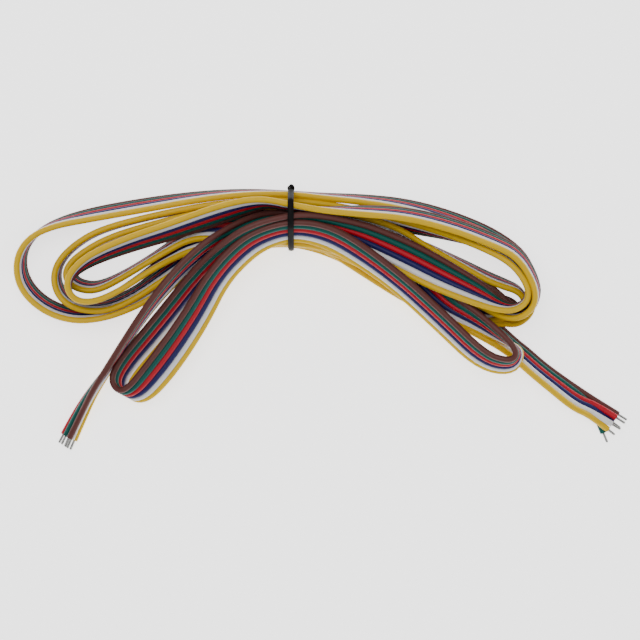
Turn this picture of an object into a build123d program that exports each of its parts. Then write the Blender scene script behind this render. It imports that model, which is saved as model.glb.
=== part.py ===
from build123d import *
import math
import os

# Sizes in millimetres. Z is up, the bundle lies on z = 0.
PITCH = 1.8          # spacing of neighbouring wires in the flat ribbon
WIRE_D = 1.5         # insulation of one wire
CORE_D = 0.76        # stranded conductor, tinned
CORE_FIT = 0.04      # clearance of a conductor in its insulation, across the diameter
BARE = 3.0           # stripped length at each end
SEAT = 3.5           # length of conductor kept inside the insulation at each end
BORE_END = 0.3       # air past the inner end of a seated conductor

TIE_X = -9.25        # middle of the tie along X
TIE_W = 1.8          # width of the tie along X
TIE_T = 1.2          # thickness of the tie
TIE_BEND = 0.85      # inner corner radius of the tie loop
KNOT_D = 3.0         # twisted knot of the tie
KNOT_L = 2.6         # length of the knot

COLOURS = ["brown", "green", "red", "blue", "white", "yellow"]

# The ribbon is one length that runs to and fro through the tie. Each station is the
# middle of the ribbon and its roll in degrees: 0 is flat with yellow on the right of
# travel, 90 is on edge with yellow up, -90 is on edge with brown up.
ROUTE = [
    # LT
    (-63.6, -15.2, 8.00, -86), (-56.5, -4.4, 13.00, -85), (-48.1, 6.9, 15.60, -78), (-40.0, 15.3, 16.00, -72),
    (-33.7, 20.4, 15.30, -66), (-27.2, 23.2, 13.80, -48), (-20.6, 25.3, 11.85, -23), (-15.4, 26.4, 10.50, -3),
    # tieLT
    (-9.2, 26.3, 10.30, 3),
    # D'
    (2.5, 24.7, 10.10, -2), (15.0, 19.6, 9.60, -4), (27.9, 12.4, 10.20, -14), (35.7, 3.3, 11.80, -40),
    (45.9, 0.0, 13.40, -66), (53.8, -3.0, 15.90, -86),
    # Dturn
    (59.1, -6.7, 15.60, -93), (62.0, -10.6, 15.20, -106), (58.1, -15.8, 14.80, -119),
    # D
    (47.8, -13.6, 14.20, -121), (35.8, -1.9, 12.80, -120), (21.8, 10.9, 13.20, -119), (7.3, 20.9, 15.60, -127),
    (-0.9, 24.5, 16.60, -127),
    # tieD
    (-9.0, 25.5, 16.60, -122),
    # LLf
    (-16.7, 23.5, 16.20, -125), (-23.1, 19.8, 15.60, -130), (-31.5, 11.8, 14.00, -130), (-38.4, 0.6, 12.30, -130),
    (-45.4, -9.4, 11.00, -130),
    # LLturn
    (-51.5, -17.6, 10.00, -130), (-56.1, -23.0, 8.60, -122), (-59.6, -23.8, 6.30, -90), (-60.7, -20.4, 4.40, -54),
    (-57.5, -15.2, 4.10, -42),
    # LLb
    (-51.6, -8.2, 5.20, -37), (-44.8, -0.6, 7.40, -39), (-35.9, 11.6, 12.00, -50), (-28.0, 19.8, 15.80, -60),
    (-20.6, 25.7, 17.80, -72),
    # tieC
    (-9.5, 29.1, 17.00, -80),
    # C
    (-1.4, 27.7, 16.40, -62), (7.6, 24.8, 15.20, -42), (14.0, 22.5, 14.40, -30), (25.9, 17.0, 14.30, -8),
    (35.5, 11.9, 14.80, 18), (46.9, 6.3, 16.20, 46), (53.3, 2.6, 17.40, 72),
    # Cturn
    (57.6, 1.9, 17.40, 84), (61.4, 4.4, 17.40, 90), (61.4, 9.2, 17.30, 95),
    # H
    (57.3, 15.7, 16.40, 100), (48.9, 20.3, 14.00, 98), (37.0, 24.2, 9.80, 86), (25.5, 26.9, 6.20, 76),
    (14.1, 29.5, 5.40, 70), (2.7, 32.9, 6.00, 86),
    # tieH
    (-9.2, 34.7, 6.70, 92),
    # t2
    (-22.8, 34.4, 6.00, 90), (-36.5, 32.8, 5.40, 90), (-51.5, 29.8, 5.40, 90), (-66.5, 25.9, 5.40, 90),
    (-74.4, 21.2, 5.40, 90), (-79.3, 15.9, 5.40, 88),
    # s3
    (-80.3, 10.4, 5.40, 84), (-77.9, 5.4, 5.40, 78), (-72.6, 2.7, 5.40, 74), (-65.0, 2.5, 5.30, 72),
    (-56.7, 6.1, 5.30, 72), (-48.7, 11.8, 5.30, 69), (-40.2, 18.4, 4.90, 57), (-29.9, 23.8, 5.55, 40),
    (-21.5, 25.5, 4.25, 11),
    # tieA'
    (-9.2, 26.3, 4.75, 6),
    # A'
    (1.6, 24.9, 3.70, 6), (13.3, 17.4, 2.90, 3), (25.7, 9.3, 2.90, 3), (36.8, 3.8, 3.00, 3),
    (45.0, 2.6, 3.20, 8), (51.1, 2.0, 4.25, 18), (56.2, 0.9, 5.30, 33),
    # A'turn
    (59.2, -0.2, 6.00, 56), (62.8, 1.3, 5.80, 82), (63.6, 7.0, 5.40, 102),
    # A
    (61.3, 16.3, 5.10, 114), (52.7, 23.2, 5.10, 116), (39.0, 29.3, 5.20, 112), (25.2, 33.3, 5.30, 108),
    (11.4, 35.0, 5.40, 102), (0.7, 35.6, 6.20, 97),
    # tieA
    (-9.2, 36.6, 6.70, 93),
    # L1
    (-22.9, 36.9, 6.00, 98), (-36.6, 35.8, 5.40, 104), (-51.8, 33.5, 5.30, 110), (-69.9, 30.3, 5.30, 110),
    (-81.3, 27.4, 5.40, 100),
    # L1turn
    (-88.5, 23.0, 5.40, 90), (-91.3, 16.3, 5.40, 80), (-89.7, 8.9, 5.30, 72),
    # s4
    (-83.7, 2.9, 5.20, 70), (-75.3, -0.3, 5.20, 70), (-66.3, 0.3, 5.20, 70), (-57.0, 3.6, 5.20, 70),
    (-48.2, 9.0, 5.10, 66), (-40.7, 15.5, 4.60, 53), (-29.9, 22.4, 4.10, 40), (-21.5, 25.1, 2.50, 12),
    # tieG
    (-9.2, 26.3, 2.90, 6),
    # G
    (2.5, 23.4, 1.60, 4), (15.0, 17.5, 1.05, 0), (27.9, 10.3, 1.05, 0), (37.9, 5.8, 1.05, 0),
    (45.0, 6.1, 1.10, 0),
    # Gturn
    (47.6, 10.9, 1.35, 1), (50.3, 13.2, 3.40, 90), (47.9, 14.3, 5.30, 166),
    # F
    (45.6, 16.9, 5.20, 146), (40.6, 18.7, 5.60, 124), (36.2, 20.1, 5.60, 106), (31.4, 22.0, 5.40, 94),
    (23.8, 24.9, 5.40, 80), (14.6, 27.3, 5.40, 70), (7.3, 29.4, 5.60, 76), (1.5, 31.2, 6.10, 88),
    # tieF
    (-9.2, 32.9, 6.70, 93),
    # t4
    (-22.8, 32.5, 6.00, 90), (-36.5, 31.0, 5.40, 90), (-51.4, 26.9, 5.40, 85), (-63.8, 22.7, 5.40, 80),
    (-71.9, 17.7, 5.30, 76), (-75.5, 14.0, 5.30, 74),
    # s1
    (-75.8, 11.1, 5.25, 74), (-73.0, 8.9, 5.25, 74), (-67.6, 8.2, 5.30, 76), (-59.3, 12.2, 5.40, 82),
    (-48.8, 18.7, 5.50, 82), (-38.9, 25.2, 5.90, 68), (-29.9, 26.3, 8.45, 39), (-21.5, 26.5, 7.85, 9),
    # tieB'
    (-9.2, 26.3, 8.50, 5),
    # B'
    (2.5, 25.3, 8.20, -2), (15.0, 20.2, 7.80, -6), (27.9, 15.1, 8.10, -4), (38.5, 9.4, 9.40, 12),
    (48.7, 6.2, 11.40, 40), (55.3, 0.9, 13.20, 61),
    # B'turn
    (60.4, -0.2, 15.80, 84), (63.8, 3.4, 17.20, 92), (64.1, 9.0, 17.30, 102),
    # B
    (59.1, 18.3, 17.20, 108), (50.8, 22.4, 17.20, 110), (38.9, 26.9, 17.20, 110), (25.2, 30.3, 17.20, 108),
    (11.5, 31.1, 17.20, 104), (1.0, 31.3, 17.20, 94),
    # tieB
    (-9.3, 32.2, 17.20, 82),
    # t5
    (-15.9, 33.8, 16.90, 82), (-22.3, 32.8, 16.40, 69), (-31.7, 29.9, 15.50, 61), (-45.2, 25.2, 15.00, 64),
    (-56.8, 21.7, 15.00, 68), (-67.7, 17.5, 15.30, 74), (-73.4, 13.8, 15.70, 82),
    # s2
    (-76.2, 9.8, 15.70, 90), (-74.8, 5.1, 15.00, 92), (-69.4, 3.5, 13.90, 92), (-61.5, 6.7, 11.80, 89),
    (-52.6, 12.9, 9.20, 86), (-46.3, 17.1, 7.20, 78), (-40.0, 21.3, 5.70, 64), (-29.9, 25.0, 6.95, 40),
    (-21.5, 26.0, 6.05, 10),
    # tieT
    (-9.2, 26.3, 6.60, 6),
    # T
    (2.5, 24.4, 5.90, 2), (15.0, 18.5, 5.30, 0), (27.9, 13.0, 5.70, -4), (37.0, 4.9, 6.70, -14),
    (44.5, -1.6, 7.00, -38), (52.0, -6.9, 7.00, -32), (57.0, -10.4, 5.40, 12), (62.4, -13.8, 4.70, 44),
    (69.9, -19.6, 4.80, 56), (77.4, -25.4, 4.60, 50),
]

# Past the ribbon the six wires part. Each row is a wire's own points, from the tip of
# its insulation towards the ribbon, in the order of COLOURS.
START_FAN = [
    [(-75.0, -36.9, 2.45), (-72.2, -30.4, 2.45), (-68.8, -22.9, 9.90)],
    [(-76.5, -36.0, 2.45), (-73.9, -29.4, 2.45), (-69.6, -22.4, 8.20)],
    [(-78.2, -35.0, 0.75), (-74.9, -28.8, 0.75), (-70.4, -21.9, 6.60)],
    [(-76.6, -36.0, 0.75), (-73.5, -29.6, 0.75), (-69.5, -22.5, 5.00)],
    [(-74.9, -37.0, 0.75), (-72.1, -30.5, 0.75), (-68.7, -22.9, 3.40)],
    [(-73.2, -37.9, 0.75), (-70.7, -31.3, 0.75), (-67.8, -23.4, 1.90)],
]
END_FAN = [
    [(89.7, -30.0, 0.75), (83.4, -26.1, 0.80)],
    [(85.2, -35.6, 0.75), (82.0, -27.9, 0.80)],
    [(89.0, -30.9, 2.90), (82.8, -26.9, 2.50)],
    [(87.9, -32.3, 1.60), (82.0, -27.9, 3.30)],
    [(87.6, -32.8, 3.30), (81.2, -29.0, 4.20)],
    [(86.4, -34.4, 1.90), (80.5, -29.9, 5.40)],
]

# Inner face of the tie as (Y, Z), close round the outermost wires.
TIE_LOOP = [
    (20.4, 1.22), (37.7, 1.22), (37.1, 11.4), (33.9, 22.5),
    (29.1, 22.35), (26.6, 20.9), (21.8, 13.3), (20.7, 10.6),
]
TIE_KNOT = (0, 39.1, 9.0)       # middle of the knot

FROM_BASE = (Align.CENTER, Align.CENTER, Align.MIN)


def tangents(points):
    """Unit direction of travel at each point, halfway between its two runs."""
    runs = [(b - a).normalized() for a, b in zip(points, points[1:])]
    joined = [(a + b).normalized() for a, b in zip(runs, runs[1:])]
    return [runs[0]] + joined + [runs[-1]]


def across(travel, roll):
    """Unit vector over the ribbon from brown to yellow."""
    right = travel.cross(Vector(0, 0, 1)).normalized()
    up = right.cross(travel)
    angle = math.radians(roll)
    return right * math.cos(angle) + up * math.sin(angle)


def ribbon_points():
    """The six wires' points along the ribbon, mitred where it bends on edge."""
    middle = [Vector(x, y, z) for x, y, z, _ in ROUTE]
    wires = [[] for _ in COLOURS]
    travel = tangents(middle)
    for i, point in enumerate(middle):
        over = across(travel[i], ROUTE[i][3])
        stretch = 1.0
        if 0 < i < len(middle) - 1:
            before = (point - middle[i - 1]).normalized().dot(over)
            after = (middle[i + 1] - point).normalized().dot(over)
            stretch = 1 / math.cos(math.asin((after - before) / 2))
        for k, wire in enumerate(wires):
            wire.append(point + over * ((k - 2.5) * PITCH * stretch))
    return wires


def cord_path(points):
    """Straight runs joined by arcs, with the length and the arcs' radii."""
    radii, saved = [], 0.0
    for a, b, c in zip(points, points[1:], points[2:]):
        turn = math.radians((b - a).get_angle(c - b))
        cut = 0.45 * min((b - a).length, (c - b).length)
        radii.append(cut / math.tan(turn / 2))
        saved += 2 * cut - radii[-1] * turn
    length = sum((b - a).length for a, b in zip(points, points[1:])) - saved
    return FilletPolyline(*points, radius=radii), length, radii


def insulation(points):
    """One wire's insulation, with a blind bore in each end for its conductor."""
    path, length, radii = cord_path(points)
    tube = sweep(Plane(path @ 0, z_dir=path % 0) * Circle(WIRE_D / 2), path=path)
    for tip, inner in ((points[0], points[1]), (points[-1], points[-2])):
        bore = Cylinder((CORE_D + CORE_FIT) / 2, SEAT + BORE_END, align=FROM_BASE)
        tube -= Plane(tip, z_dir=inner - tip) * bore
    return tube, length, radii


def conductor(points):
    """The two ends of a wire's conductor, each bare outside and seated inside."""
    ends = []
    for tip, inner in ((points[0], points[1]), (points[-1], points[-2])):
        out = (tip - inner).normalized()
        core = Cylinder(CORE_D / 2, BARE + SEAT, align=FROM_BASE)
        ends.append(Plane(tip - out * SEAT, z_dir=out) * core)
    return Compound(children=ends)


def tie():
    """A closed plastic tie round the bundle, with its ends twisted to a knot."""
    outline = Plane.YZ * Polyline(*TIE_LOOP, close=True)
    inside = fillet(make_face(outline).vertices(), TIE_BEND)
    outside = offset(inside, TIE_T)
    loop = extrude(outside - inside, TIE_W / 2, both=True)
    knot = Plane(TIE_KNOT, z_dir=(0, 1, 0.2)) * Cylinder(KNOT_D / 2, KNOT_L)
    knot = chamfer(knot.edges(), 0.4)
    return Pos(TIE_X, 0, 0) * (loop + knot)


os.makedirs("parts", exist_ok=True)
ribbon = ribbon_points()
for k, colour in enumerate(COLOURS):
    wire_points = [Vector(*p) for p in START_FAN[k]] + ribbon[k]
    wire_points += [Vector(*p) for p in reversed(END_FAN[k])]
    tube, length, radii = insulation(wire_points)
    section = math.pi * WIRE_D**2 / 4
    print(colour, "length %.1f mm" % length, "volume %.1f" % tube.volume,
          "section x length %.1f" % (section * length))
    print("  radii", " ".join("%.1f" % r for r in radii))
    export_step(tube, "parts/%s_wire.step" % colour)
    export_step(conductor(wire_points), "parts/%s_conductor.step" % colour)
export_step(tie(), "parts/tie.step")
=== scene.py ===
"""A bundle of six-core flat ribbon cable with stripped ends, held by a black tie."""

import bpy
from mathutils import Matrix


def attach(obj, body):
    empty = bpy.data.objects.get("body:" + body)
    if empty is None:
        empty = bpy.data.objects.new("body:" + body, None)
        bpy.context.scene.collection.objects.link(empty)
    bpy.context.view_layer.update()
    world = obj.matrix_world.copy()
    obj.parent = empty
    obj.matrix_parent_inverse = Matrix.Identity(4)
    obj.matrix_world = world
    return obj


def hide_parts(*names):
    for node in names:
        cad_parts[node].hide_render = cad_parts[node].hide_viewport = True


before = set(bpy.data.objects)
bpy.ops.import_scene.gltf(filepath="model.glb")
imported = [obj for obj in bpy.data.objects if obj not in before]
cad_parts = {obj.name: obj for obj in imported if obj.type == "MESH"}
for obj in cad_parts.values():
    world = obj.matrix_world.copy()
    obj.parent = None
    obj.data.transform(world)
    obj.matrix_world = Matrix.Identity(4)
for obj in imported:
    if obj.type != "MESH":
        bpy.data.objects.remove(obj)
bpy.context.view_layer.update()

import math

import bmesh
import bpy
from bpy.props import FloatProperty, FloatVectorProperty, PointerProperty
from mathutils import Matrix, Vector

bl_info = {
    "name": "Ribbon cable bundle",
    "version": (1, 0, 0),
    "blender": (4, 5, 0),
    "location": "3D View > Sidebar > Cable",
    "description": "Builds a tied bundle of flat six-core ribbon cable",
    "category": "Add Mesh",
}

COLOURS = ["brown", "green", "red", "blue", "white", "yellow"]
LENGTHS = [1.827, 1.815, 1.807, 1.802, 1.801, 1.805]  # tip to tip, in COLOURS' order
PITCH = 0.0018       # spacing of neighbouring wires in the ribbon
CORE_D = 0.00076     # stranded conductor
BARE = 0.003         # stripped length at each end

# Middle of the ribbon and its roll in degrees: 0 is flat with yellow on the right of
# travel, 90 is on edge with yellow up, -90 is on edge with brown up.
ROUTE = [
    # Left tail, in to the tie
    (-0.0636, -0.0152, 0.008, -86), (-0.0565, -0.0044, 0.013, -85), (-0.0481, 0.0069, 0.0156, -78),
    (-0.04, 0.0153, 0.016, -72), (-0.0337, 0.0204, 0.0153, -66), (-0.0272, 0.0232, 0.0138, -48),
    (-0.0206, 0.0253, 0.01185, -23), (-0.0154, 0.0264, 0.0105, -3),
    # Through the tie
    (-0.0092, 0.0263, 0.0103, 3),
    # First right loop, out
    (0.0025, 0.0247, 0.0101, -2), (0.015, 0.0196, 0.0096, -4), (0.0279, 0.0124, 0.0102, -14),
    (0.0364, 0.0034, 0.0118, -40), (0.0456, -0.0014, 0.0134, -58), (0.0531, -0.0062, 0.0154, -78),
    # First right loop, fold
    (0.057, -0.0089, 0.0156, -92), (0.0592, -0.0116, 0.0152, -106),
    (0.0565, -0.0155, 0.0148, -118),
    # First right loop, back
    (0.0478, -0.0136, 0.0142, -121), (0.0358, -0.0019, 0.0128, -120),
    (0.0218, 0.0109, 0.0132, -119),
    (0.0073, 0.0209, 0.0156, -127), (-0.0009, 0.0245, 0.0166, -127),
    # Through the tie
    (-0.009, 0.0255, 0.0166, -122),
    # First left loop, out
    (-0.0167, 0.0235, 0.0162, -125), (-0.023, 0.0199, 0.0156, -130),
    (-0.0311, 0.0115, 0.014, -130),
    (-0.0373, 0.0001, 0.0123, -140), (-0.0441, -0.0102, 0.011, -147),
    # First left loop, fold
    (-0.0503, -0.0183, 0.01, -147), (-0.0552, -0.0235, 0.0086, -132),
    (-0.0593, -0.0242, 0.0064, -92),
    (-0.0614, -0.02, 0.005, -60), (-0.0582, -0.0146, 0.0046, -52),
    # First left loop, back
    (-0.0522, -0.0077, 0.0056, -50), (-0.0456, 0.0001, 0.0076, -50), (-0.0362, 0.0118, 0.012, -53),
    (-0.0281, 0.0199, 0.0158, -60), (-0.0206, 0.0256, 0.0178, -72),
    # Through the tie
    (-0.0095, 0.0291, 0.017, -80),
    # Second right loop, out
    (-0.0014, 0.0277, 0.0164, -62), (0.0076, 0.0248, 0.0152, -42), (0.014, 0.0225, 0.0144, -30),
    (0.0259, 0.017, 0.0143, -8), (0.0355, 0.0119, 0.0148, 18), (0.0469, 0.0063, 0.0162, 46),
    (0.0533, 0.0026, 0.0174, 72),
    # Second right loop, fold
    (0.0576, 0.0019, 0.0174, 84), (0.0614, 0.0044, 0.0174, 90), (0.0614, 0.0092, 0.0173, 95),
    # Second right loop, back
    (0.0573, 0.0157, 0.0164, 100), (0.0489, 0.0203, 0.014, 98), (0.037, 0.0242, 0.0098, 86),
    (0.0255, 0.0269, 0.0062, 76), (0.0141, 0.0295, 0.0054, 70), (0.0027, 0.0329, 0.006, 86),
    # Through the tie
    (-0.0092, 0.0347, 0.0067, 92),
    # Second left loop, out
    (-0.0228, 0.0344, 0.006, 90), (-0.0365, 0.0328, 0.0054, 90), (-0.0515, 0.0298, 0.0054, 90),
    (-0.0665, 0.0259, 0.0054, 90), (-0.0744, 0.0212, 0.0054, 90), (-0.0793, 0.0159, 0.0054, 88),
    # Second left loop, fold and back
    (-0.0803, 0.0104, 0.0054, 84), (-0.0779, 0.0054, 0.0054, 78), (-0.0726, 0.0027, 0.0054, 74),
    (-0.065, 0.0025, 0.0053, 72), (-0.0567, 0.0061, 0.0053, 72), (-0.0487, 0.0118, 0.0053, 69),
    (-0.0402, 0.0184, 0.0049, 57), (-0.0299, 0.0238, 0.00555, 40), (-0.0215, 0.0255, 0.00425, 11),
    # Through the tie
    (-0.0092, 0.0263, 0.00475, 6),
    # Third right loop, out
    (0.0015, 0.025, 0.0037, 6), (0.0132, 0.0175, 0.0029, 3), (0.0259, 0.0094, 0.0029, 3),
    (0.0367, 0.0037, 0.003, 3), (0.045, 0.0025, 0.0034, 8), (0.051, 0.0019, 0.005, 18),
    (0.0561, 0.001, 0.006, 33),
    # Third right loop, fold
    (0.0592, -0.0002, 0.0063, 56), (0.0628, 0.0013, 0.0058, 82), (0.0636, 0.007, 0.0054, 102),
    # Third right loop, back
    (0.0613, 0.0163, 0.0051, 114), (0.0527, 0.0232, 0.0051, 116), (0.039, 0.0293, 0.0052, 112),
    (0.0252, 0.0333, 0.0053, 108), (0.0114, 0.035, 0.0054, 102), (0.0007, 0.0356, 0.0062, 97),
    # Through the tie
    (-0.0092, 0.0366, 0.0067, 93),
    # Third left loop, out
    (-0.0229, 0.0369, 0.006, 98), (-0.0366, 0.0358, 0.0054, 104), (-0.0518, 0.0335, 0.0053, 110),
    (-0.0699, 0.0303, 0.0053, 110), (-0.0813, 0.0274, 0.0054, 100),
    # Third left loop, fold
    (-0.0885, 0.023, 0.0054, 90), (-0.0913, 0.0163, 0.0054, 80), (-0.0897, 0.0089, 0.0053, 72),
    # Third left loop, back
    (-0.0837, 0.0029, 0.0052, 70), (-0.0753, -0.0003, 0.0052, 70), (-0.0663, 0.0003, 0.0052, 70),
    (-0.057, 0.0036, 0.0052, 70), (-0.0482, 0.009, 0.0051, 66), (-0.0407, 0.0155, 0.0046, 53),
    (-0.0299, 0.0224, 0.0041, 40), (-0.0215, 0.0251, 0.0025, 12),
    # Through the tie
    (-0.0092, 0.0263, 0.0029, 6),
    # Fourth right loop, out
    (0.0025, 0.0235, 0.0016, 4), (0.015, 0.0175, 0.0011, 0), (0.0279, 0.0103, 0.0011, 0),
    (0.0376, 0.0061, 0.0011, 0), (0.0456, 0.0037, 0.0015, 7), (0.0515, 0.0016, 0.0034, 34),
    # Fourth right loop, fold
    (0.0564, 0.0004, 0.0052, 74), (0.0604, 0.0011, 0.0054, 90), (0.0613, 0.0048, 0.0054, 95),
    # Fourth right loop, back
    (0.0592, 0.0078, 0.0054, 99), (0.0548, 0.0095, 0.0054, 103), (0.0498, 0.0115, 0.0054, 104),
    (0.0432, 0.015, 0.0054, 101), (0.0372, 0.0181, 0.0054, 97), (0.0307, 0.0214, 0.0054, 93),
    (0.0234, 0.0251, 0.0054, 80), (0.0144, 0.0274, 0.0054, 70), (0.0072, 0.0295, 0.0056, 76),
    (0.0015, 0.0313, 0.0061, 88),
    # Through the tie
    (-0.0092, 0.0329, 0.0067, 93),
    # Fourth left loop, out
    (-0.0228, 0.0325, 0.006, 90), (-0.0365, 0.031, 0.0054, 90), (-0.0514, 0.0269, 0.0054, 85),
    (-0.0638, 0.0227, 0.0054, 80), (-0.0719, 0.0177, 0.0053, 76), (-0.0755, 0.014, 0.0053, 74),
    # Fourth left loop, fold and back
    (-0.0758, 0.0111, 0.00525, 74), (-0.073, 0.0089, 0.00525, 74), (-0.0676, 0.0082, 0.0053, 76),
    (-0.0593, 0.0122, 0.0054, 82), (-0.0488, 0.0187, 0.0055, 82), (-0.0389, 0.0252, 0.0059, 68),
    (-0.0299, 0.0263, 0.00845, 39), (-0.0215, 0.0265, 0.00785, 9),
    # Through the tie
    (-0.0092, 0.0263, 0.0085, 5),
    # Fifth right loop, out
    (0.0025, 0.0253, 0.0082, -2), (0.015, 0.0202, 0.0078, -6), (0.0279, 0.0151, 0.0081, -4),
    (0.0385, 0.0094, 0.0094, 12), (0.0487, 0.0062, 0.0114, 40), (0.0553, 0.0009, 0.0132, 61),
    # Fifth right loop, fold
    (0.0604, -0.0002, 0.0158, 84), (0.0638, 0.0034, 0.0172, 92), (0.0641, 0.009, 0.0173, 102),
    # Fifth right loop, back
    (0.0591, 0.0183, 0.0172, 108), (0.0508, 0.0224, 0.0172, 110), (0.0389, 0.0269, 0.0172, 110),
    (0.0252, 0.0303, 0.0172, 108), (0.0115, 0.0311, 0.0172, 104), (0.001, 0.0313, 0.0172, 94),
    # Through the tie
    (-0.0093, 0.0322, 0.0172, 82),
    # Fifth left loop, out
    (-0.0159, 0.0338, 0.0169, 82), (-0.0223, 0.0328, 0.0164, 69), (-0.0317, 0.0299, 0.0155, 61),
    (-0.0452, 0.0252, 0.015, 64), (-0.0568, 0.0217, 0.015, 68), (-0.0677, 0.0175, 0.0153, 74),
    (-0.0734, 0.0138, 0.0157, 82),
    # Fifth left loop, fold and back
    (-0.0762, 0.0098, 0.0157, 90), (-0.0748, 0.0051, 0.015, 92), (-0.0694, 0.0035, 0.0139, 92),
    (-0.0615, 0.0067, 0.0118, 89), (-0.0526, 0.0129, 0.0092, 86), (-0.0463, 0.0171, 0.0072, 78),
    (-0.04, 0.0213, 0.0057, 64), (-0.0299, 0.025, 0.00695, 40), (-0.0215, 0.026, 0.00605, 10),
    # Through the tie
    (-0.0092, 0.0263, 0.0066, 6),
    # Right tail, out from the tie
    (0.0025, 0.0244, 0.0059, 2), (0.015, 0.0184, 0.0053, 0), (0.0279, 0.0127, 0.0054, 2),
    (0.0372, 0.0044, 0.0064, 12), (0.0457, -0.0011, 0.0069, 33), (0.0533, -0.0064, 0.0063, 54),
    (0.0577, -0.0099, 0.0056, 60), (0.0606, -0.0123, 0.0055, 58), (0.0651, -0.0163, 0.0054, 58),
    (0.0702, -0.0203, 0.005, 56), (0.0774, -0.0257, 0.0046, 50),
]

# Past the ribbon the wires part: each wire's own points, from its tip inwards.
START_FAN = [
    [(-0.0761, -0.037, 0.0042), (-0.0727, -0.0301, 0.0055), (-0.0689, -0.0228, 0.0101)],
    [(-0.0773, -0.0363, 0.0026), (-0.0738, -0.0294, 0.0041), (-0.0694, -0.0225, 0.0083)],
    [(-0.0781, -0.0359, 0.001), (-0.0744, -0.0291, 0.0024), (-0.0696, -0.0224, 0.0066)],
    [(-0.0765, -0.0368, 0.001), (-0.0734, -0.0297, 0.001), (-0.0693, -0.0226, 0.0049)],
    [(-0.0757, -0.0373, 0.0026), (-0.0726, -0.0301, 0.0026), (-0.0688, -0.0229, 0.0031)],
    [(-0.0749, -0.0378, 0.001), (-0.0718, -0.0306, 0.001), (-0.0684, -0.0231, 0.0014)],
]
END_FAN = [
    [(0.0897, -0.03, 0.00075), (0.0834, -0.0261, 0.0008)],
    [(0.0852, -0.0356, 0.00075), (0.082, -0.0279, 0.0008)],
    [(0.089, -0.0309, 0.0029), (0.0828, -0.0269, 0.0025)],
    [(0.0879, -0.0323, 0.0016), (0.082, -0.0279, 0.0033)],
    [(0.0876, -0.0328, 0.0033), (0.0812, -0.029, 0.0042)],
    [(0.0864, -0.0344, 0.0019), (0.0805, -0.0299, 0.0054)],
]

# Inner face of the tie as (Y, Z), at TIE_X.
TIE_X = -0.00925
TIE_LOOP = [
    (0.0204, 0.00122), (0.0377, 0.00122), (0.0371, 0.0114), (0.0339, 0.0225),
    (0.0291, 0.02235), (0.0266, 0.0209), (0.0218, 0.0133), (0.0207, 0.0106),
]
TIE_CORNER_EASE = 0.0007     # half of the rounding at each corner of the loop
TIE_KNOT = (TIE_X, 0.0381, 0.0112)
KNOT_ROD_R = 0.00058         # two ends of the tie, twisted together
KNOT_ROD_APART = 0.00055     # from the knot's middle to each end's middle
KNOT_LENGTH = 0.0028
KNOT_TWIST = 200

STRAND_R = CORE_D / 6        # six strands round one make up the core
STRAND_EXTRA = 0.0006        # length of the strands that is hidden in the insulation
STRAND_TWIST = 210

BOARD_SIZE = 3
BOARD_Z = -0.0002
BOARD_GLOW = 1.9
SKY_STRENGTH = 0.45
CAMERA_PLACE = (-0.00055, -0.0014, 1.0767)
LENS_MM = 200
SENSOR_MM = 36


def linear(hex_colour):
    """Linear RGB of an sRGB hex colour."""
    parts = [int(hex_colour[i : i + 2], 16) / 255 for i in (1, 3, 5)]
    return [c / 12.92 if c <= 0.04045 else ((c + 0.055) / 1.055) ** 2.4 for c in parts]


def colour_property(name, what, hex_colour):
    return FloatVectorProperty(
        name=name, description=what, subtype="COLOR", size=3, min=0, max=1,
        default=linear(hex_colour),
    )


class CableBundleSettings(bpy.types.PropertyGroup):
    wire_diameter: FloatProperty(
        name="Wire", description="Diameter of one wire's insulation",
        default=0.00188, min=0.001, max=0.002, subtype="DISTANCE", unit="LENGTH",
    )
    tie_width: FloatProperty(
        name="Tie width", description="Width of the tie's band",
        default=0.0018, min=0.001, max=0.003, subtype="DISTANCE", unit="LENGTH",
    )
    tie_thickness: FloatProperty(
        name="Tie thickness", description="Thickness of the tie's band",
        default=0.0011, min=0.0006, max=0.002, subtype="DISTANCE", unit="LENGTH",
    )
    brown: colour_property("Brown", "Insulation of the first wire", "#5E3430")
    green: colour_property("Green", "Insulation of the second wire", "#00524A")
    red: colour_property("Red", "Insulation of the third wire", "#B41226")
    blue: colour_property("Blue", "Insulation of the fourth wire", "#1C1C58")
    white: colour_property("White", "Insulation of the fifth wire", "#E4E4E6")
    yellow: colour_property("Yellow", "Insulation of the sixth wire", "#DEB400")
    core: colour_property("Core", "Tinned strands", "#B9B9B6")
    tie: colour_property("Tie", "Plastic of the tie", "#0A090A")
    floor: colour_property("Floor", "Surface under the bundle", "#FDFDFD")


def settings():
    return bpy.context.scene.cable_bundle


# Materials


def add_node(tree, kind, values, links=()):
    """Adds a node with its properties and input values, and links outputs to its inputs."""
    node = tree.nodes.new(kind)
    for key, value in values.items():
        if hasattr(node, key):
            setattr(node, key, value)
        else:
            node.inputs[key].default_value = value
    for output, key in links:
        tree.links.new(output, node.inputs[key])
    return node


def new_surface(name):
    """A material with a Principled surface, and its tree, shader and object coordinates."""
    material = bpy.data.materials.new(name)
    material.use_nodes = True
    tree = material.node_tree
    shader = tree.nodes["Principled BSDF"]
    place = add_node(tree, "ShaderNodeTexCoord", {}).outputs["Object"]
    return material, tree, shader, place


def varied_colour(tree, shader, place, colour, other, size, detail=3.0):
    """Base colour that drifts between two tones over patches of one size in metres."""
    patches = add_node(
        tree, "ShaderNodeTexNoise", {"Scale": 1 / size, "Detail": detail}, [(place, "Vector")]
    )
    mix = add_node(
        tree, "ShaderNodeMix", {"data_type": "RGBA"}, [(patches.outputs["Fac"], "Factor")]
    )
    mix.inputs[6].default_value = (*colour, 1)
    mix.inputs[7].default_value = (*other, 1)
    tree.links.new(mix.outputs[2], shader.inputs["Base Color"])


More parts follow.
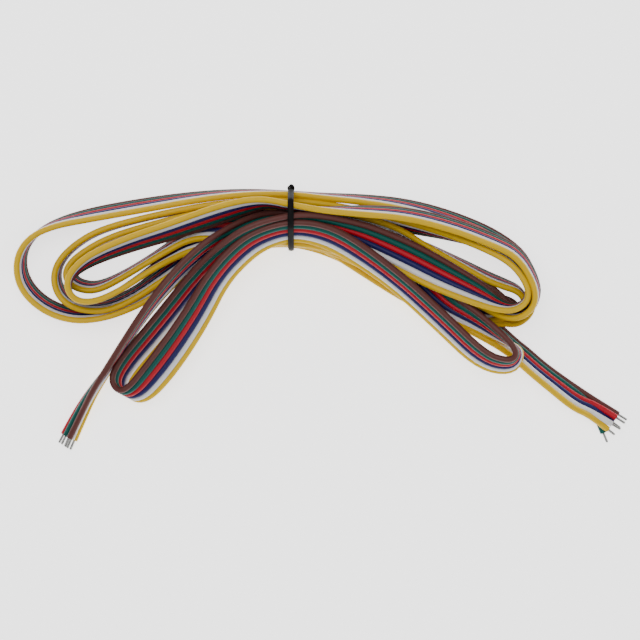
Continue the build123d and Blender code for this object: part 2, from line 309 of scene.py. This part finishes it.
def varied_roughness(tree, shader, place, low, high, size):
    grain = add_node(
        tree, "ShaderNodeTexNoise", {"Scale": 1 / size, "Detail": 2.0}, [(place, "Vector")]
    )
    span = add_node(
        tree, "ShaderNodeMapRange", {"To Min": low, "To Max": high},
        [(grain.outputs["Fac"], "Value")],
    )
    tree.links.new(span.outputs["Result"], shader.inputs["Roughness"])


def grain_bump(tree, shader, place, size, depth, strength):
    grain = add_node(
        tree, "ShaderNodeTexNoise", {"Scale": 1 / size, "Detail": 3.0}, [(place, "Vector")]
    )
    bump = add_node(
        tree, "ShaderNodeBump", {"Strength": strength, "Distance": depth},
        [(grain.outputs["Fac"], "Height")],
    )
    tree.links.new(bump.outputs["Normal"], shader.inputs["Normal"])


def extruded_pvc(colour_name):
    """Soft PVC, extruded over the core: an even satin skin with a faint ripple from the die."""
    material, tree, shader, place = new_surface("PVC extruded " + colour_name)
    colour = list(getattr(settings(), colour_name))
    darker = [c * 0.86 for c in colour]
    varied_colour(tree, shader, place, colour, darker, 0.006)
    varied_roughness(tree, shader, place, 0.38, 0.52, 0.0012)
    grain_bump(tree, shader, place, 0.0009, 0.00004, 0.35)
    shader.inputs["IOR"].default_value = 1.53
    shader.inputs["Specular IOR Level"].default_value = 0.2
    return material


def tinned_copper():
    """Copper strands dipped in solder: dull silver with a slightly lumpy coat."""
    material, tree, shader, place = new_surface("Copper strands tinned")
    colour = list(settings().core)
    varied_colour(tree, shader, place, colour, [c * 0.6 for c in colour], 0.0004)
    varied_roughness(tree, shader, place, 0.28, 0.5, 0.0003)
    grain_bump(tree, shader, place, 0.0003, 0.00003, 0.4)
    shader.inputs["Metallic"].default_value = 1.0
    return material


def moulded_tie_plastic():
    """Black PVC pressed round the tie's wire: matt, with soft wide highlights and fine grain."""
    material, tree, shader, place = new_surface("PVC tie black")
    colour = list(settings().tie)
    varied_colour(tree, shader, place, colour, [c * 1.5 for c in colour], 0.0015)
    varied_roughness(tree, shader, place, 0.6, 0.75, 0.0008)
    grain_bump(tree, shader, place, 0.0005, 0.00004, 0.5)
    shader.inputs["IOR"].default_value = 1.53
    shader.inputs["Specular IOR Level"].default_value = 0.12
    return material


def painted_board():
    """White painted board, lit from below: matt and even, and it takes only faint shadows."""
    material, tree, shader, place = new_surface("Board painted white")
    colour = list(settings().floor)
    varied_colour(tree, shader, place, colour, [c * 0.985 for c in colour], 0.05)
    varied_roughness(tree, shader, place, 0.8, 0.9, 0.01)
    grain_bump(tree, shader, place, 0.0015, 0.00002, 0.1)
    shader.inputs["Emission Color"].default_value = (1, 1, 1, 1)
    shader.inputs["Emission Strength"].default_value = BOARD_GLOW
    return material


# Ribbon


def travel_at(points):
    """Unit direction of travel at each point, halfway between its two runs."""
    runs = [(b - a).normalized() for a, b in zip(points, points[1:])]
    joined = [(a + b).normalized() for a, b in zip(runs, runs[1:])]
    return [runs[0]] + joined + [runs[-1]]


def across(travel, roll):
    """Unit vector over the ribbon from brown to yellow."""
    right = travel.cross(Vector((0, 0, 1))).normalized()
    angle = math.radians(roll)
    return right * math.cos(angle) + right.cross(travel) * math.sin(angle)


def wire_routes():
    """Each wire's points, from its tip in the left tail to its tip in the right tail."""
    middle = [Vector(station[:3]) for station in ROUTE]
    wires = [[] for _ in COLOURS]
    travel = travel_at(middle)
    for i, point in enumerate(middle):
        over = across(travel[i], ROUTE[i][3])
        stretch = 1.0
        if 0 < i < len(middle) - 1:
            before = (point - middle[i - 1]).normalized().dot(over)
            after = (middle[i + 1] - point).normalized().dot(over)
            stretch = 1 / math.cos(math.asin((after - before) / 2))
        for k, wire in enumerate(wires):
            wire.append(point + over * ((k - 2.5) * PITCH * stretch))
    return [
        [Vector(p) for p in START_FAN[k]] + wire + [Vector(p) for p in reversed(END_FAN[k])]
        for k, wire in enumerate(wires)
    ]


def wire_on_route(name, points, diameter):
    """A round wire whose line is a smooth curve with the route's points as control points."""
    line = bpy.data.curves.new(name, "CURVE")
    line.dimensions = "3D"
    spline = line.splines.new("NURBS")
    spline.points.add(len(points) - 1)
    for control, point in zip(spline.points, points):
        control.co = (*point, 1)
    spline.order_u = 3
    spline.use_endpoint_u = True
    line.resolution_u = 5
    line.bevel_depth = diameter / 2
    line.bevel_resolution = 4
    line.use_fill_caps = True
    wire = bpy.data.objects.new(name, line)
    bpy.context.scene.collection.objects.link(wire)
    return wire


class CABLE_OT_ribbon_wires(bpy.types.Operator):
    """Lay the six insulated wires of the ribbon along its route"""

    bl_idname = "cable.ribbon_wires"
    bl_label = "Ribbon wires"

    def execute(self, context):
        for colour, points, length in zip(COLOURS, wire_routes(), LENGTHS):
            wire = wire_on_route(colour + "_insulated_wire", points, settings().wire_diameter)
            wire.data.materials.append(extruded_pvc(colour))
            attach(wire, "root")
            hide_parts(colour + "_wire")
        return {"FINISHED"}


# Stripped ends


def alone(thing):
    """Makes one object the only one selected."""
    bpy.ops.object.select_all(action="DESELECT")
    thing.select_set(True)
    bpy.context.view_layer.objects.active = thing


def long_rod(radius, depth, place, sides, cuts):
    """A thin rod along Z with rounded ends and rings of points for bending."""
    bpy.ops.object.select_all(action="DESELECT")
    bpy.ops.mesh.primitive_cylinder_add(
        vertices=sides, radius=radius, depth=depth, location=place
    )
    rod = bpy.context.active_object
    bpy.ops.object.transform_apply(location=True, rotation=True, scale=True)
    bpy.ops.object.mode_set(mode="EDIT")
    bpy.ops.mesh.select_mode(type="EDGE")
    bpy.ops.mesh.select_all(action="DESELECT")
    shape = bmesh.from_edit_mesh(rod.data)
    for edge in shape.edges:
        a, b = edge.verts
        edge.select_set(abs(a.co.z - b.co.z) < depth * 0.01)
    bmesh.update_edit_mesh(rod.data)
    bpy.ops.mesh.bevel(offset=radius * 0.5, segments=2, affect="EDGES")
    bpy.ops.mesh.select_all(action="DESELECT")
    shape = bmesh.from_edit_mesh(rod.data)
    for edge in shape.edges:
        a, b = edge.verts
        edge.select_set(abs(a.co.z - b.co.z) > depth * 0.5)
    bmesh.update_edit_mesh(rod.data)
    bpy.ops.mesh.subdivide(number_cuts=cuts)
    bpy.ops.object.mode_set(mode="OBJECT")
    return rod


def twisted(rods, name, degrees):
    """Joins rods that stand along Z and twists them about Z."""
    alone(rods[0])
    for rod in rods:
        rod.select_set(True)
    if len(rods) > 1:
        bpy.ops.object.join()
    bundle = bpy.context.active_object
    bundle.name = name
    lay = bundle.modifiers.new("Lay", "SIMPLE_DEFORM")
    lay.deform_method = "TWIST"
    lay.deform_axis = "Z"
    lay.angle = math.radians(degrees)
    bpy.ops.object.modifier_apply(modifier=lay.name)
    bpy.ops.object.shade_smooth_by_angle(angle=math.radians(50))
    return bundle


def placed_copy(model, name, place, direction, turn=0.0):
    """A copy of a piece modelled along Z, set at a place along a direction, in its mesh."""
    copy = bpy.data.objects.new(name, model.data.copy())
    bpy.context.scene.collection.objects.link(copy)
    facing = direction.to_track_quat("Z", "Y").to_matrix().to_4x4()
    copy.matrix_world = Matrix.Translation(place) @ facing @ Matrix.Rotation(turn, 4, "Z")
    alone(copy)
    bpy.ops.object.transform_apply(location=True, rotation=True, scale=True)
    return copy


class CABLE_OT_stripped_ends(bpy.types.Operator):
    """Model one stripped end of seven twisted strands and set a copy on each wire's tips"""

    bl_idname = "cable.stripped_ends"
    bl_label = "Stripped ends"

    def execute(self, context):
        long = BARE + STRAND_EXTRA
        middle_z = BARE / 2 - STRAND_EXTRA / 2
        rods = [long_rod(STRAND_R, long, (0, 0, middle_z + 0.0001), 10, 14)]
        for i in range(6):
            angle = math.radians(60 * i)
            place = (2 * STRAND_R * math.cos(angle), 2 * STRAND_R * math.sin(angle), middle_z)
            rods.append(long_rod(STRAND_R * 1.02, long - 0.00008 * (i % 3), place, 10, 14))
        model = twisted(rods, "strand_model", STRAND_TWIST)
        finish = tinned_copper()
        for colour, points in zip(COLOURS, wire_routes()):
            tips = {"left": (points[0], points[1]), "right": (points[-1], points[-2])}
            for side, (tip, inner) in tips.items():
                end = placed_copy(
                    model, "%s_%s_strands" % (colour, side), tip, (tip - inner).normalized(),
                    turn=COLOURS.index(colour) * 0.9,
                )
                end.data.materials.clear()
                end.data.materials.append(finish)
                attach(end, "root")
                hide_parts(colour + "_conductor")
        bpy.data.objects.remove(model)
        return {"FINISHED"}


# Tie


def band_line(corners, reach, ease):
    """The band's middle line: each corner of the loop moved out by reach, as two points."""
    line = []
    count = len(corners)
    for i, corner in enumerate(corners):
        before = (Vector(corner) - Vector(corners[i - 1])).normalized()
        after = (Vector(corners[(i + 1) % count]) - Vector(corner)).normalized()
        out_before, out_after = Vector((before.y, -before.x)), Vector((after.y, -after.x))
        out = (out_before + out_after) / (1 + out_before.dot(out_after))
        moved = Vector(corner) + out * reach
        line += [moved - before * ease, moved + after * ease]
    return line


class CABLE_OT_tie(bpy.types.Operator):
    """Model the tie: an oval band round the bundle and its twisted knot"""

    bl_idname = "cable.tie"
    bl_label = "Tie"

    def execute(self, context):
        wide, thick = settings().tie_width, settings().tie_thickness
        bpy.ops.object.select_all(action="DESELECT")
        bpy.ops.curve.primitive_nurbs_circle_add(radius=0.5, location=(0, 0, 0))
        section = bpy.context.active_object
        section.scale = (wide, thick, 1)
        bpy.ops.object.transform_apply(location=True, rotation=True, scale=True)
        section.data.resolution_u = 4
        bpy.ops.object.select_all(action="DESELECT")
        bpy.ops.curve.primitive_nurbs_circle_add(radius=0.01, location=(0, 0, 0))
        band = bpy.context.active_object
        band.name = "cable_tie"
        band.data.dimensions = "3D"
        band.data.splines.clear()
        spline = band.data.splines.new("NURBS")
        line = band_line(TIE_LOOP, thick / 2, TIE_CORNER_EASE)
        spline.points.add(len(line) - 1)
        for control, (y, z) in zip(spline.points, line):
            control.co = (TIE_X, y, z, 1)
        spline.order_u = 3
        spline.use_cyclic_u = True
        band.data.resolution_u = 8
        band.data.twist_mode = "Z_UP"
        band.data.bevel_mode = "OBJECT"
        band.data.bevel_object = section
        alone(band)
        bpy.ops.object.convert(target="MESH")
        bpy.data.objects.remove(section)
        rods = [
            long_rod(KNOT_ROD_R, KNOT_LENGTH, (side * KNOT_ROD_APART, 0, 0), 14, 10)
            for side in (-1, 1)
        ]
        knot_model = twisted(rods, "knot_model", KNOT_TWIST)
        knot = placed_copy(knot_model, "tie_knot", Vector(TIE_KNOT), Vector((0, 0.1, 1)))
        bpy.data.objects.remove(knot_model)
        alone(band)
        knot.select_set(True)
        bpy.ops.object.join()
        bpy.ops.object.mode_set(mode="EDIT")
        bpy.ops.mesh.select_all(action="SELECT")
        bpy.ops.mesh.normals_make_consistent(inside=False)
        bpy.ops.object.mode_set(mode="OBJECT")
        bpy.ops.object.shade_smooth_by_angle(angle=math.radians(50))
        tie = bpy.context.active_object
        tie.data.materials.clear()
        tie.data.materials.append(moulded_tie_plastic())
        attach(tie, "root")
        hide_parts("tie")
        return {"FINISHED"}


# Studio


def soft_light(name, place, target, size, power):
    data = bpy.data.lights.new(name, "AREA")
    data.shape = "SQUARE"
    data.size = size
    data.energy = power
    lamp = bpy.data.objects.new(name, data)
    bpy.context.scene.collection.objects.link(lamp)
    lamp.location = place
    lamp.rotation_euler = (Vector(target) - Vector(place)).to_track_quat("-Z", "Y").to_euler()


class CABLE_OT_studio(bpy.types.Operator):
    """Set up the white board, the soft lights and the camera above the bundle"""

    bl_idname = "cable.studio"
    bl_label = "Studio"

    def execute(self, context):
        bpy.ops.object.select_all(action="DESELECT")
        bpy.ops.mesh.primitive_plane_add(size=BOARD_SIZE, location=(0, 0, BOARD_Z))
        floor = bpy.context.active_object
        floor.name = "board"
        floor.data.materials.append(painted_board())
        bpy.ops.object.transform_apply(location=True, rotation=True, scale=True)
        world = bpy.data.worlds.new("Studio")
        context.scene.world = world
        world.use_nodes = True
        sky = world.node_tree.nodes["Background"]
        sky.inputs["Color"].default_value = (1, 1, 1, 1)
        sky.inputs["Strength"].default_value = SKY_STRENGTH
        soft_light("Key", (-0.25, 0.35, 1.4), (0, 0, 0), 0.8, 11)
        soft_light("Fill", (0.5, -0.6, 1.0), (0, 0, 0), 1.0, 3)
        data = bpy.data.cameras.new("Camera")
        data.lens = LENS_MM
        data.sensor_width = SENSOR_MM
        data.clip_end = 10
        camera = bpy.data.objects.new("Camera", data)
        context.scene.collection.objects.link(camera)
        camera.location = CAMERA_PLACE
        context.scene.camera = camera
        return {"FINISHED"}


class CABLE_PT_bundle(bpy.types.Panel):
    bl_label = "Ribbon cable bundle"
    bl_idname = "CABLE_PT_bundle"
    bl_space_type = "VIEW_3D"
    bl_region_type = "UI"
    bl_category = "Cable"

    def draw(self, context):
        layout = self.layout
        for key in CableBundleSettings.__annotations__:
            layout.prop(context.scene.cable_bundle, key)
        for operator in OPERATORS:
            layout.operator(operator.bl_idname)


OPERATORS = [CABLE_OT_stripped_ends, CABLE_OT_ribbon_wires, CABLE_OT_tie, CABLE_OT_studio]
CLASSES = [CableBundleSettings, *OPERATORS, CABLE_PT_bundle]


def register():
    for item in CLASSES:
        bpy.utils.register_class(item)
    bpy.types.Scene.cable_bundle = PointerProperty(type=CableBundleSettings)


def unregister():
    del bpy.types.Scene.cable_bundle
    for item in reversed(CLASSES):
        bpy.utils.unregister_class(item)


def main():
    register()
    bpy.ops.cable.stripped_ends()
    bpy.ops.cable.ribbon_wires()
    bpy.ops.cable.tie()
    bpy.ops.cable.studio()
    bpy.context.view_layer.update()


if __name__ == "__main__":
    main()
